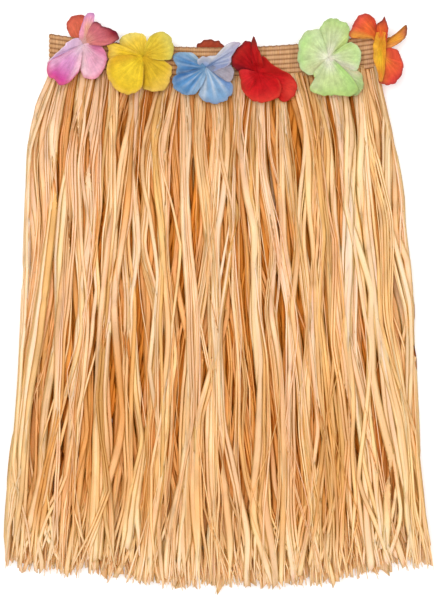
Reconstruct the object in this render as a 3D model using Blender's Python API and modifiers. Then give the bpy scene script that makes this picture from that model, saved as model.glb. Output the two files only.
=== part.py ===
"""A grass skirt laid flat on a surface: a shirred raffia waistband, five layers of raffia strands and silk flowers.

Units are metres, +Z is up. The skirt lies on the plane z = 0 with its waist towards +Y, and the origin is under the
middle of its outline. The front half lies on the back half, as when an empty skirt is put down and smoothed out.
"""

import math
import random
from collections import namedtuple

import bmesh
import bpy
from mathutils import Vector

GAP = 0.0003  # clearance between neighbouring pieces

# Waistband: a ring of shirred raffia, pressed flat, whose edges sag in the middle
BAND_LEFT, BAND_RIGHT = -0.187, 0.1735
BAND_HEIGHT = 0.036
BAND_WALL = 0.003
BAND_MIDDLE_Y = 0.278  # the top edge at its lowest point
BAND_SAG = 0.0152
BAND_SAG_X = -0.005  # where the edge is lowest
BAND_SAG_REACH = 0.182  # how far from there the edge is BAND_SAG higher
BAND_LIFT = 0.0018  # the back flowers are pressed flat under the band
PUFFS = 6  # rows of puffs between the elastic threads
PUFF_DEPTH = 0.0006
GATHER_DEPTH = 0.00035
BAND_COLUMNS = 38  # on each of the two panels
FOLD_STEPS = 3

# Strips that the strands of one layer are sewn to, in line with the band's lower edge
STRIP_HEIGHT = 0.006
STRIP_WALL = 0.0008
STRIP_PITCH = STRIP_WALL + GAP
STRIP_INSET = 0.003
STRIP_STEPS = 14

# Strands: flat ribbons with one ridge
STRAND_WALL = 0.0013
ROOT_WALL = 0.0006
ROOT_INSET = 0.0001
ROOT_WIDTH = 0.8  # share of the full width
TIP_WIDTH = 0.45
STRAND_GAP = 0.0005
STRAND_LIFT = 0.0009  # how far a strand may rise in its layer
LAYER_PITCH = 0.0027
SPREAD_FROM, SPREAD_TO = 0.014, 0.080  # the layers spread out at these distances below the band
LEVELS = (0.200, 0.085, -0.060, -0.200, -0.330)  # y of the rings that all strands share

# Where the laid grass ends at each side
Sides = namedtuple("Sides", "y left right")
SIDES = (
    Sides(0.260, -0.188, 0.1735),
    Sides(0.242, -0.194, 0.1745),
    Sides(0.200, -0.209, 0.187),
    Sides(0.111, -0.214, 0.204),
    Sides(0.002, -0.218, 0.212),
    Sides(-0.110, -0.222, 0.216),
    Sides(-0.200, -0.232, 0.221),
    Sides(-0.330, -0.238, 0.243),
)
HEM_Y = -0.316  # at the middle, where the strands reach furthest
HEM_RISE = 0.027  # at the sides
HEM_HALF = 0.235
HEM_POWER = 1.6

Layer = namedtuple("Layer", "name seed strands panel strip level lean sway waves phase")
LAYERS = (
    # panel 0 is the back and 1 the front; strip and level count up from the lowest
    Layer("grass_back_lower", 11, 46, 0, 0, 0, -0.035, 0.016, 1.5, 0.3),
    Layer("grass_back_upper", 12, 46, 0, 1, 1, 0.040, 0.014, 2.1, 2.0),
    Layer("grass_front_under", 13, 45, 1, 0, 2, -0.045, 0.018, 1.8, 4.0),
    Layer("grass_front_middle", 14, 45, 1, 1, 3, 0.042, 0.018, 2.6, 1.1),
    Layer("grass_front_top", 15, 46, 1, 2, 4, -0.014, 0.015, 3.1, 5.2),
)
NARROWEST, WIDEST = 0.0050, 0.0078
WANDER = 0.0038  # how far a strand strays sideways from one level to the next
TURN = 4.0  # radians that the sideways sway turns through from the first level to the last
RIDGE_SHIFT = 0.3  # how far off the strand's middle its ridge may run, as a share of the width
RAGGED = 0.009  # how unevenly the ends reach the hem
SHORT_SHARE = 0.34  # of the strands stop well above the hem
SHORT_LEAST, SHORT_MOST = 0.004, 0.030
TIP_WALL = 0.8  # share of the strand's thickness left at its tip

# Flowers
PETAL_WALL = 0.0010
CORE_RADIUS = 0.0050
OVERLAP_RADIUS = 0.0110  # further out a petal may lie over its neighbour
OVERLAP_SPREAD = 2.0
TIER_RISE = 0.0025  # between petals that lie over each other
CONE = 0.12  # how steeply the petals rise from the core
CUP = 0.0004
PETAL_ROWS = 4
PETAL_COLUMNS = 4
PRESSED_ROWS = 3
PRESSED_COLUMNS = 2
TIP_BOW = 0.27  # how far the tip's corners draw back, as a share of the petal's length and of its tip
NECK = 0.45  # share of a petal's width at the core
WIDEST_AT = 0.70  # along the petal
WIDEST_WEDGE = 1.2
WEDGE_GAP = 0.0008

# angle in degrees from +X; tip is the share of the width left at the tip; tier counts up from the lowest
Petal = namedtuple("Petal", "angle length width tip tier")
Flower = namedtuple("Flower", "name x y colour petals")
ROUND, POINTED = 0.62, 0.22
FRONT_FLOWERS = (
    Flower("flower_lilac", -0.1488, 0.2812, (0.74, 0.42, 0.72), (
        Petal(9, 0.0400, 0.020, 0.40, 2),
        Petal(71, 0.0330, 0.018, 0.50, 1),
        Petal(196, 0.0385, 0.020, 0.40, 0),
        Petal(230, 0.0440, 0.037, 0.75, 1),
        Petal(288, 0.0405, 0.029, ROUND, 0),
    )),
    Flower("flower_yellow", -0.0837, 0.2681, (0.93, 0.72, 0.09), (
        Petal(51, 0.0335, 0.028, ROUND, 0),
        Petal(110, 0.0275, 0.028, ROUND, 1),
        Petal(167, 0.0380, 0.026, ROUND, 0),
        Petal(240, 0.0475, 0.040, 0.70, 2),
        Petal(302, 0.0415, 0.038, 0.70, 1),
    )),
    Flower("flower_blue", -0.0147, 0.2562, (0.33, 0.58, 0.84), (
        Petal(37, 0.0415, 0.017, 0.50, 2),
        Petal(164, 0.0350, 0.024, ROUND, 0),
        Petal(218, 0.0395, 0.032, ROUND, 1),
        Petal(286, 0.0430, 0.037, ROUND, 0),
        Petal(333, 0.0317, 0.019, ROUND, 1),
    )),
    Flower("flower_red", 0.0420, 0.2507, (0.78, 0.05, 0.06), (
        Petal(96, 0.0370, 0.016, POINTED, 1),
        Petal(127, 0.0345, 0.029, ROUND, 0),
        Petal(203, 0.0240, 0.027, ROUND, 1),
        Petal(266, 0.0335, 0.040, 0.70, 0),
        Petal(336, 0.0420, 0.034, ROUND, 1),
    )),
    Flower("flower_green", 0.1183, 0.2665, (0.62, 0.84, 0.42), (
        Petal(3, 0.0360, 0.030, ROUND, 1),
        Petal(84, 0.0435, 0.035, ROUND, 0),
        Petal(165, 0.0325, 0.045, 0.75, 1),
        Petal(264, 0.0420, 0.047, 0.75, 2),
        Petal(317, 0.0430, 0.034, ROUND, 0),
    )),
    Flower("flower_orange", 0.1680, 0.2769, (0.93, 0.36, 0.10), (
        Petal(35, 0.0426, 0.016, POINTED, 0),
        Petal(70, 0.0338, 0.015, POINTED, 1),
        Petal(108, 0.0378, 0.030, ROUND, 2),
        Petal(281, 0.0367, 0.014, 0.50, 1),
        Petal(309, 0.0440, 0.030, ROUND, 0),
    )),
)
BACK_FLOWERS = (
    Flower("flower_back_orange", -0.1499, 0.2769, (0.80, 0.20, 0.10), (
        Petal(29, 0.0240, 0.022, ROUND, 0),
        Petal(101, 0.0383, 0.025, ROUND, 0),
        Petal(173, 0.0240, 0.022, ROUND, 0),
        Petal(245, 0.0240, 0.022, ROUND, 0),
        Petal(317, 0.0240, 0.022, ROUND, 0),
    )),
    Flower("flower_back_crimson", -0.0104, 0.2594, (0.55, 0.04, 0.06), (
        Petal(15, 0.0240, 0.022, ROUND, 0),
        Petal(87, 0.0278, 0.029, ROUND, 0),
        Petal(159, 0.0240, 0.022, ROUND, 0),
        Petal(231, 0.0240, 0.022, ROUND, 0),
        Petal(303, 0.0240, 0.022, ROUND, 0),
    )),
)

RAFFIA = (0.80, 0.58, 0.31)
RAFFIA_SHADES = (0.80, 0.86, 0.92, 1.0, 1.06)


def smooth(t):
    """Rises from 0 to 1 with level ends."""
    t = min(max(t, 0.0), 1.0)
    return t * t * (3 - 2 * t)


def mix(a, b, t):
    return a + (b - a) * t


def sides_at(y):
    """The left and right edge of the laid grass at this height."""
    for upper, lower in zip(SIDES, SIDES[1:]):
        if y >= lower.y:
            break
    t = min(max((upper.y - y) / (upper.y - lower.y), 0.0), 1.0)
    return mix(upper.left, lower.left, t), mix(upper.right, lower.right, t)


def hem_at(x):
    return HEM_Y + HEM_RISE * min(abs(x) / HEM_HALF, 1.0) ** HEM_POWER


def band_top(x):
    return BAND_MIDDLE_Y + BAND_SAG * ((x - BAND_SAG_X) / BAND_SAG_REACH) ** 2


def strip_top(x):
    return band_top(x) - BAND_HEIGHT - GAP


def panel_floor(panel):
    """The lowest z of the back panel, 0, or the front panel, 1."""
    return BAND_LIFT + panel * (BAND_WALL + GAP)


def material(name, colour, roughness):
    made = bpy.data.materials.new(name)
    made.use_nodes = True
    shader = made.node_tree.nodes["Principled BSDF"]
    shader.inputs["Base Color"].default_value = (*colour, 1.0)
    shader.inputs["Roughness"].default_value = roughness
    shader.inputs["Metallic"].default_value = 0.0
    made.diffuse_color = (*colour, 1.0)
    return made


def new_object(name, bm, colour, roughness, collection):
    mesh = bpy.data.meshes.new(name)
    bm.to_mesh(mesh)
    bm.free()
    mesh.materials.append(material(name, colour, roughness))
    made = bpy.data.objects.new(name, mesh)
    collection.objects.link(made)
    return made


def loft(bm, sections, ring=False):
    """Skins sections of equally many points. A ring joins the last to the first; else flat caps close the ends."""
    rows = [[bm.verts.new(point) for point in section] for section in sections]
    pairs = list(zip(rows, rows[1:]))
    if ring:
        pairs.append((rows[-1], rows[0]))
    for row, following in pairs:
        for i, corner in enumerate(row):
            j = (i + 1) % len(row)
            bm.faces.new((corner, row[j], following[j], following[i]))
    if not ring:
        bm.faces.new(rows[0])
        bm.faces.new(rows[-1])


def band_loop():
    """Points round the flattened ring as (x, z, outward x, outward z), from the left end along the front."""
    middle = BAND_LIFT + BAND_WALL + GAP / 2
    radius = (BAND_WALL + GAP) / 2
    left, right = BAND_LEFT + radius + BAND_WALL / 2, BAND_RIGHT - radius - BAND_WALL / 2
    steps = [mix(left, right, i / BAND_COLUMNS) for i in range(BAND_COLUMNS + 1)]
    turns = [math.pi * i / (FOLD_STEPS + 1) for i in range(1, FOLD_STEPS + 1)]
    loop = [(x, middle + radius, 0.0, 1.0) for x in steps]
    loop += [(right + radius * math.sin(a), middle + radius * math.cos(a), math.sin(a), math.cos(a)) for a in turns]
    loop += [(x, middle - radius, 0.0, -1.0) for x in reversed(steps)]
    loop += [(left - radius * math.sin(a), middle - radius * math.cos(a), -math.sin(a), -math.cos(a)) for a in turns]
    return loop


def make_waistband(collection):
    """Puffs and gathers are raised in the outer side of the wall; the inside is plain."""
    half = BAND_WALL / 2
    sections = []
    for column, (x, z, out_x, out_z) in enumerate(band_loop()):
        gather = GATHER_DEPTH if column % 2 else 0.0
        top = band_top(x)
        section = [(x - half * out_x, top - depth, z - half * out_z) for depth in (BAND_HEIGHT, 0.0)]
        for row in range(2 * PUFFS + 1):
            wall = half - (gather if row % 2 else PUFF_DEPTH)
            depth = BAND_HEIGHT * row / (2 * PUFFS)
            section.append((x + wall * out_x, top - depth, z + wall * out_z))
        sections.append(section)
    bm = bmesh.new()
    loft(bm, sections, ring=True)
    bmesh.ops.recalc_face_normals(bm, faces=bm.faces)
    return new_object("waistband", bm, RAFFIA, 0.75, collection)


def spread(centres, widths, left, right):
    """The centres moved apart until strands of these widths clear each other between the two sides."""
    placed, edge = [], left
    for centre, width in zip(centres, widths):
        placed.append(max(centre, edge + width / 2))
        edge = placed[-1] + width / 2 + STRAND_GAP
    edge = right
    for i in reversed(range(len(placed))):
        placed[i] = min(placed[i], edge - widths[i] / 2)
        edge = placed[i] - widths[i] / 2 - STRAND_GAP
    return placed


def strand_rings(layer):
    """For each strand of a layer its rings as (x, y, z, width, wall), from the root in the strip to the tip."""
    draw = random.Random(layer.seed)
    count = layer.strands
    widths = [draw.uniform(NARROWEST, WIDEST) for _ in range(count)]
    wander = [0.0] * count
    root_z = panel_floor(layer.panel) + layer.strip * STRIP_PITCH + ROOT_INSET
    rest_z = layer.level * LAYER_PITCH
    left, right = BAND_LEFT + STRIP_INSET, BAND_RIGHT - STRIP_INSET
    shares = [(i + 0.5) / count for i in range(count)]
    roots = spread([mix(left, right, share) for share in shares], widths, left + GAP, right - GAP)
    strands = []
    for x, width in zip(roots, widths):
        strands.append([(x, strip_top(x) - STRIP_HEIGHT / 2, root_z, width * ROOT_WIDTH, ROOT_WALL)])
    for y in LEVELS:
        left, right = sides_at(y)
        fallen = (LEVELS[0] - y) / (LEVELS[0] - LEVELS[-1])
        centres = []
        for i, share in enumerate(shares):
            inner = 4 * share * (1 - share)
            flow = layer.lean * fallen * inner
            flow += layer.sway * math.sin(math.tau * layer.waves * share + layer.phase + TURN * fallen) * inner
            wander[i] += draw.uniform(-WANDER, WANDER)
            centres.append(mix(left, right, share) + (right - left) * flow + wander[i])
        centres = spread(centres, widths, left, right)
        for x, width, rings in zip(centres, widths, strands):
            risen = smooth((strip_top(x) - y - SPREAD_FROM) / (SPREAD_TO - SPREAD_FROM))
            lift = draw.uniform(0, STRAND_LIFT) if layer.level else 0.0
            z = mix(root_z, rest_z, risen) + lift * risen
            rings.append((x, y, z, width, mix(ROOT_WALL, STRAND_WALL, risen)))
    return [cut_to_length(rings, draw) for rings in strands]


def cut_to_length(rings, draw):
    """The strand ends near the hem, between its last two rings; some of the strands stop well short."""
    short = draw.uniform(0, RAGGED)
    if draw.random() < SHORT_SHARE:
        short += draw.uniform(SHORT_LEAST, SHORT_MOST)
    before, last = rings[-2:]
    x, y, z, width, wall = before
    end_y = hem_at(last[0]) + short
    t = (y - end_y) / (y - last[1])
    tip = (mix(x, last[0], t), end_y, mix(z, last[2], t), width * TIP_WIDTH, mix(wall, last[4], t) * TIP_WALL)
    return [*rings[:-1], tip]


def make_grass(layer, shade, collection, helpers):
    """One layer: its strands, joined by a Boolean union to the strip that they hang from."""
    draw = random.Random(layer.seed + 100)
    bm = bmesh.new()
    for rings in strand_rings(layer):
        ridge = draw.uniform(-RIDGE_SHIFT, RIDGE_SHIFT)
        sections = []
        for x, y, z, width, wall in rings:
            sections.append(((x - width / 2, y, z), (x + width / 2, y, z), (x + ridge * width, y, z + wall)))
        loft(bm, sections)
    bmesh.ops.recalc_face_normals(bm, faces=bm.faces)
    colour = tuple(min(channel * shade, 1.0) for channel in RAFFIA)
    strands = new_object(layer.name + "_strands", bm, colour, 0.6, helpers)
    strands.hide_render = True
    strands.display_type = "WIRE"

    low = panel_floor(layer.panel) + layer.strip * STRIP_PITCH
    left, right = BAND_LEFT + STRIP_INSET, BAND_RIGHT - STRIP_INSET
    sections = []
    for i in range(STRIP_STEPS + 1):
        x = mix(left, right, i / STRIP_STEPS)
        top, bottom = strip_top(x), strip_top(x) - STRIP_HEIGHT
        high = low + STRIP_WALL
        sections.append(((x, bottom, low), (x, top, low), (x, top, high), (x, bottom, high)))
    bm = bmesh.new()
    loft(bm, sections)
    bmesh.ops.recalc_face_normals(bm, faces=bm.faces)
    strip = new_object(layer.name, bm, colour, 0.6, collection)
    union = strip.modifiers.new("strands", "BOOLEAN")
    union.operation = "UNION"
    union.object = strands
    return strip


def petal_half_width(petal, r, wedge, overlaps):
    """Half the petal's width at r from the flower's centre, kept off a neighbour at twice the angle wedge."""
    share = (r - CORE_RADIUS) / (petal.length - CORE_RADIUS)
    full = petal.width / 2 * mix(NECK, 1.0, math.sin(math.pi / 2 * min(share / WIDEST_AT, 1.0)))
    full *= mix(1.0, petal.tip, smooth((share - WIDEST_AT) / (1 - WIDEST_AT)))
    limit = r * math.tan(min(wedge, WIDEST_WEDGE)) - WEDGE_GAP
    if overlaps and r > OVERLAP_RADIUS:
        limit += OVERLAP_SPREAD * (r - OVERLAP_RADIUS)
    return min(full, limit)


def petal_points(flower, index, rows, columns, overlaps):
    """A grid of points, from the core's rim to the tip, and from the petal's right side to its left."""
    petal = flower.petals[index]
    count = len(flower.petals)
    before = flower.petals[index - 1].angle - (360 if index == 0 else 0)
    after = flower.petals[(index + 1) % count].angle + (360 if index == count - 1 else 0)
    turn = math.radians(petal.angle)
    wedge_right = math.radians(petal.angle - before) / 2
    wedge_left = math.radians(after - petal.angle) / 2
    axis = Vector((math.cos(turn), math.sin(turn)))
    across = Vector((-axis.y, axis.x))
    grid = []
    for row in range(rows + 1):
        r = CORE_RADIUS if row == 0 else mix(OVERLAP_RADIUS, petal.length, (row - 1) / (rows - 1))
        share = (r - CORE_RADIUS) / (petal.length - CORE_RADIUS)
        points = []
        for column in range(columns + 1):
            t = 2 * column / columns - 1
            wedge = wedge_left if t > 0 else wedge_right
            if row == 0:
                flat = Vector((math.cos(turn + t * wedge), math.sin(turn + t * wedge))) * CORE_RADIUS
            else:
                half = petal_half_width(petal, r, wedge, overlaps)
                bow = TIP_BOW * petal.tip * (petal.length - CORE_RADIUS) * (share * t) ** 2
                flat = axis * (r - bow) + across * t * half
            points.append((flat, share, t))
        grid.append(points)
    return grid


def petal_rise(petal, flat, share, t):
    """How high a point of the petal lies above the core."""
    out = flat.length - CORE_RADIUS
    rise = petal.tier * TIER_RISE * smooth(out / (OVERLAP_RADIUS - CORE_RADIUS))
    return rise + CONE * out + CUP * t * t * share


def make_flower(flower, low, pressed, collection):
    """A sheet of five petals round a small core, thickened upwards. A pressed flower is flat."""
    rows, columns = (PRESSED_ROWS, PRESSED_COLUMNS) if pressed else (PETAL_ROWS, PETAL_COLUMNS)
    bm = bmesh.new()
    core = bm.verts.new((flower.x, flower.y, low))
    rim = []
    for index, petal in enumerate(flower.petals):
        grid = petal_points(flower, index, rows, columns, not pressed)
        made = []
        for row, points in enumerate(grid):
            line = []
            for column, (flat, share, t) in enumerate(points):
                if row == 0 and column == 0 and rim:
                    line.append(rim[-1])
                    continue
                if row == 0 and column == columns and index == len(flower.petals) - 1:
                    line.append(rim[0])
                    continue
                rise = 0.0 if pressed else petal_rise(petal, flat, share, t)
                line.append(bm.verts.new((flower.x + flat.x, flower.y + flat.y, low + rise)))
            if row == 0:
                rim += [vert for vert in line if vert not in rim]
            made.append(line)
        for line, outer in zip(made, made[1:]):
            for column in range(columns):
                bm.faces.new((line[column], outer[column], outer[column + 1], line[column + 1]))
    for i, vert in enumerate(rim):
        bm.faces.new((core, vert, rim[(i + 1) % len(rim)]))
    bmesh.ops.recalc_face_normals(bm, faces=bm.faces)
    if sum(face.normal.z for face in bm.faces) < 0:
        bmesh.ops.reverse_faces(bm, faces=bm.faces)
    made = new_object(flower.name, bm, flower.colour, 0.7, collection)
    wall = made.modifiers.new("wall", "SOLIDIFY")
    wall.thickness = PETAL_WALL
    wall.offset = 1.0
    return made


def main():
    for old in list(bpy.data.objects):
        bpy.data.objects.remove(old)
    scene = bpy.context.scene
    scene.unit_settings.system = "METRIC"
    skirt = bpy.data.collections.new("grass_skirt")
    helpers = bpy.data.collections.new("grass_skirt_helpers")
    scene.collection.children.link(skirt)
    scene.collection.children.link(helpers)

    make_waistband(skirt)
    for layer, shade in zip(LAYERS, RAFFIA_SHADES):
        make_grass(layer, shade, skirt, helpers)
    on_band = panel_floor(1) + BAND_WALL + GAP
    for flower in FRONT_FLOWERS:
        make_flower(flower, on_band, False, skirt)
    for flower in BACK_FLOWERS:
        make_flower(flower, 0.0, True, skirt)


main()
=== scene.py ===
"""The looks of a grass skirt laid flat: raffia ribbons, a shirred raffia band and silk flowers.

Units are metres, +Z is up and the waist is towards +Y. The skirt lies on the plane z = 0, front half
uppermost. The sizes and random seeds in the first sections are those of the solids, so that each ribbon
follows its own strand.
"""

import math
import random
from collections import namedtuple

import bpy
import numpy as np
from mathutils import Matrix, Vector

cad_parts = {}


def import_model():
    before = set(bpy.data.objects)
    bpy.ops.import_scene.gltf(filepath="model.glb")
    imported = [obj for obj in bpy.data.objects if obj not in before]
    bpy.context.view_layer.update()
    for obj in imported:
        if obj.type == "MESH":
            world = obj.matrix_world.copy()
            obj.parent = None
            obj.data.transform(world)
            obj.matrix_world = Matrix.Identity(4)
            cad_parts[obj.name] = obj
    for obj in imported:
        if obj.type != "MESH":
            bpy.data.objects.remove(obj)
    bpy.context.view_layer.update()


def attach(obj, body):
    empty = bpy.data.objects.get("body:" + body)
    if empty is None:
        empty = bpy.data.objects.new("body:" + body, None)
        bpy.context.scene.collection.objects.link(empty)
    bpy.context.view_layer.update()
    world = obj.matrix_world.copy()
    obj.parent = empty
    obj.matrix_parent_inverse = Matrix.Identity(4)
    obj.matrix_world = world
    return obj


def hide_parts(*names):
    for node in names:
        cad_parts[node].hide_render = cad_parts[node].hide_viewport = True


# Waistband
GAP = 0.0003
BAND_LEFT, BAND_RIGHT = -0.187, 0.1735
BAND_HEIGHT = 0.036
BAND_WALL = 0.003
BAND_MIDDLE_Y = 0.278
BAND_SAG = 0.0152
BAND_SAG_X = -0.005
BAND_SAG_REACH = 0.182
BAND_LIFT = 0.0018

# Strips and strands
STRIP_HEIGHT = 0.006
STRIP_PITCH = 0.0008 + GAP
STRIP_INSET = 0.003
STRAND_WALL = 0.0013
ROOT_INSET = 0.0001
STRAND_GAP = 0.0005
STRAND_LIFT = 0.0009
LAYER_PITCH = 0.0027
SPREAD_FROM, SPREAD_TO = 0.014, 0.080
LEVELS = (0.200, 0.085, -0.060, -0.200, -0.330)
Sides = namedtuple("Sides", "y left right")
SIDES = (
    Sides(0.260, -0.188, 0.1735),
    Sides(0.242, -0.194, 0.1745),
    Sides(0.200, -0.209, 0.187),
    Sides(0.111, -0.214, 0.204),
    Sides(0.002, -0.218, 0.212),
    Sides(-0.110, -0.222, 0.216),
    Sides(-0.200, -0.232, 0.221),
    Sides(-0.330, -0.238, 0.243),
)
HEM_Y = -0.316
HEM_RISE = 0.027
HEM_HALF = 0.235
HEM_POWER = 1.6
NARROWEST, WIDEST = 0.0050, 0.0078
WANDER = 0.0038
TURN = 4.0
RAGGED = 0.009
SHORT_SHARE = 0.34
SHORT_LEAST, SHORT_MOST = 0.004, 0.030

# The first ten columns are the solid's. Then: ribbons to a strand, rings along one, depth of colour (how much
# painted shade the layer gets), how far ribbons stray sideways, how far they may roll about their length, in
# degrees, how much they bundle, and how evenly they lie, so that the lowest leave no gap.
Layer = namedtuple(
    "Layer",
    "name seed strands panel strip level lean sway waves phase "
    "ribbons rings depth stray roll bundling evened",
)
LAYERS = (
    Layer("grass_back_lower", 11, 46, 0, 0, 0, -0.035, 0.016, 1.5, 0.3, 4, 38, 0.10, 0.007, 6, 0.0, 0.8),
    Layer("grass_back_upper", 12, 46, 0, 1, 1, 0.040, 0.014, 2.1, 2.0, 3, 36, 1.00, 0.007, 6, 0.3, 0.4),
    Layer("grass_front_under", 13, 45, 1, 0, 2, -0.045, 0.018, 1.8, 4.0, 3, 50, 1.00, 0.005, 6, 0.8, 0.0),
    Layer("grass_front_middle", 14, 45, 1, 1, 3, 0.042, 0.018, 2.6, 1.1, 3, 62, 0.65, 0.006, 6, 1.0, 0.0),
    Layer("grass_front_top", 15, 46, 1, 2, 4, -0.014, 0.015, 3.1, 5.2, 4, 58, 0.0, 0.006, 7, 1.0, 0.0),
)


def linear(colour):
    """The linear colour of an sRGB one given as 0xRRGGBB."""
    share = np.array([colour >> shift & 255 for shift in (16, 8, 0)]) / 255
    return np.where(share <= 0.04045, share / 12.92, ((share + 0.055) / 1.055) ** 2.4)


# Raffia, from the palest to the deepest, and how often each comes up
RAFFIA = [linear(colour) for colour in (0xFCD9BA, 0xF7CDAF, 0xF5D1A0, 0xEDBE8E, 0xE4B372, 0xD6A466, 0xDC9958)]
RAFFIA_WEIGHTS = (5, 4, 3, 4, 3, 2, 1)
RAFFIA_PAINTED_SHADE = linear(0xE0913A)  # painted shade: the colour that the lower layers are tinted towards, for the shade between layers
RAFFIA_PALE = linear(0xFFE2BC)  # what tips and the sides of the skirt tend to
RAFFIA_BRIGHTEST = linear(0xFCD6B8)  # no fibre is paler
CREVICE_SHADE_REACH = 0.008  # painted crevice shade: how close other pieces must lie for a surface to be tinted, and with what
CREVICE_SHADE_TONE = (1.0, 0.70, 0.19)
CREVICE_SHADE_RANGE = (0.15, 0.86, 1.0, 0.0)  # from the open share of the surroundings to the share of the painted shade tint


def smooth(t):
    """Rises from 0 to 1 with level ends; takes numbers and arrays."""
    t = np.clip(t, 0.0, 1.0)
    return t * t * (3 - 2 * t)


def mix(a, b, t):
    return a + (b - a) * t


def sides_at(y):
    for upper, lower in zip(SIDES, SIDES[1:]):
        if y >= lower.y:
            break
    t = min(max((upper.y - y) / (upper.y - lower.y), 0.0), 1.0)
    return mix(upper.left, lower.left, t), mix(upper.right, lower.right, t)


def hem_at(x):
    return HEM_Y + HEM_RISE * min(abs(x) / HEM_HALF, 1.0) ** HEM_POWER


def band_top(x):
    return BAND_MIDDLE_Y + BAND_SAG * ((x - BAND_SAG_X) / BAND_SAG_REACH) ** 2


def strip_top(x):
    return band_top(x) - BAND_HEIGHT - GAP


def panel_floor(panel):
    return BAND_LIFT + panel * (BAND_WALL + GAP)


# ---------------------------------------------------------------- strands of the solids


def spread(centres, widths, left, right):
    """The centres moved apart until strands of these widths clear each other between the two sides."""
    placed, edge = [], left
    for centre, width in zip(centres, widths):
        placed.append(max(centre, edge + width / 2))
        edge = placed[-1] + width / 2 + STRAND_GAP
    edge = right
    for i in reversed(range(len(placed))):
        placed[i] = min(placed[i], edge - widths[i] / 2)
        edge = placed[i] - widths[i] / 2 - STRAND_GAP
    return placed


def strand_rings(layer):
    """For each strand of a layer the middles of its rings, from the root in its strip to the tip."""
    draw = random.Random(layer.seed)
    count = layer.strands
    widths = [draw.uniform(NARROWEST, WIDEST) for _ in range(count)]
    wander = [0.0] * count
    root_z = panel_floor(layer.panel) + layer.strip * STRIP_PITCH + ROOT_INSET
    rest_z = layer.level * LAYER_PITCH
    left, right = BAND_LEFT + STRIP_INSET, BAND_RIGHT - STRIP_INSET
    shares = [(i + 0.5) / count for i in range(count)]
    roots = spread([mix(left, right, share) for share in shares], widths, left + GAP, right - GAP)
    strands = [[(x, strip_top(x) - STRIP_HEIGHT / 2, root_z)] for x in roots]
    for y in LEVELS:
        left, right = sides_at(y)
        fallen = (LEVELS[0] - y) / (LEVELS[0] - LEVELS[-1])
        centres = []
        for i, share in enumerate(shares):
            inner = 4 * share * (1 - share)
            flow = layer.lean * fallen * inner
            turn = math.tau * layer.waves * share + layer.phase + TURN * fallen
            flow += layer.sway * math.sin(turn) * inner
            wander[i] += draw.uniform(-WANDER, WANDER)
            centres.append(mix(left, right, share) + (right - left) * flow + wander[i])
        centres = spread(centres, widths, left, right)
        for x, rings in zip(centres, strands):
            risen = float(smooth((strip_top(x) - y - SPREAD_FROM) / (SPREAD_TO - SPREAD_FROM)))
            lift = draw.uniform(0, STRAND_LIFT) if layer.level else 0.0
            rings.append((x, y, mix(root_z, rest_z, risen) + lift * risen))
    return [cut_to_length(rings, draw) for rings in strands]


def cut_to_length(rings, draw):
    """The strand ends near the hem, between its last two rings; some of the strands stop well short."""
    short = draw.uniform(0, RAGGED)
    if draw.random() < SHORT_SHARE:
        short += draw.uniform(SHORT_LEAST, SHORT_MOST)
    (x, y, z), last = rings[-2:]
    end_y = hem_at(last[0]) + short
    t = (y - end_y) / (y - last[1])
    return [*rings[:-1], (mix(x, last[0], t), end_y, mix(z, last[2], t))]


# ---------------------------------------------------------------- meshes and materials


def grid_faces(rows, columns, wrap=False):
    """Quads over a grid of points; with wrap the last column joins the first."""
    i, j = np.meshgrid(np.arange(rows - 1), np.arange(columns if wrap else columns - 1), indexing="ij")
    after = (j + 1) % columns
    corners = (i * columns + j, (i + 1) * columns + j, (i + 1) * columns + after, i * columns + after)
    return np.stack(corners, axis=-1).reshape(-1, 4)


def new_piece(name, parts, material, replaced):
    """A smooth mesh in place of a solid, joined from parts: points with a tint and a grain each, and faces.

    The tint is the colour of a point, and the grain its place in the fibres of its material.
    """
    points, tints, grains, faces = zip(*parts)
    first = np.cumsum([0] + [len(part) for part in points])
    points, tints, grains = (np.concatenate(values) for values in (points, tints, grains))
    faces = np.concatenate([part + start for part, start in zip(faces, first)])
    mesh = bpy.data.meshes.new(name)
    mesh.from_pydata([tuple(p) for p in points.tolist()], [], [tuple(f) for f in faces.tolist()])
    mesh.polygons.foreach_set("use_smooth", [True] * len(mesh.polygons))
    colours = np.concatenate([np.clip(tints, 0, 1), np.ones((len(tints), 1))], axis=1)
    mesh.attributes.new("tint", "FLOAT_COLOR", "POINT").data.foreach_set("color", colours.ravel())
    mesh.attributes.new("grain", "FLOAT_VECTOR", "POINT").data.foreach_set("vector", grains.ravel())
    mesh.materials.append(material)
    mesh.update()
    piece = bpy.data.objects.new(name, mesh)
    bpy.context.scene.collection.objects.link(piece)
    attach(piece, "root")
    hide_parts(replaced)
    return piece


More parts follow.
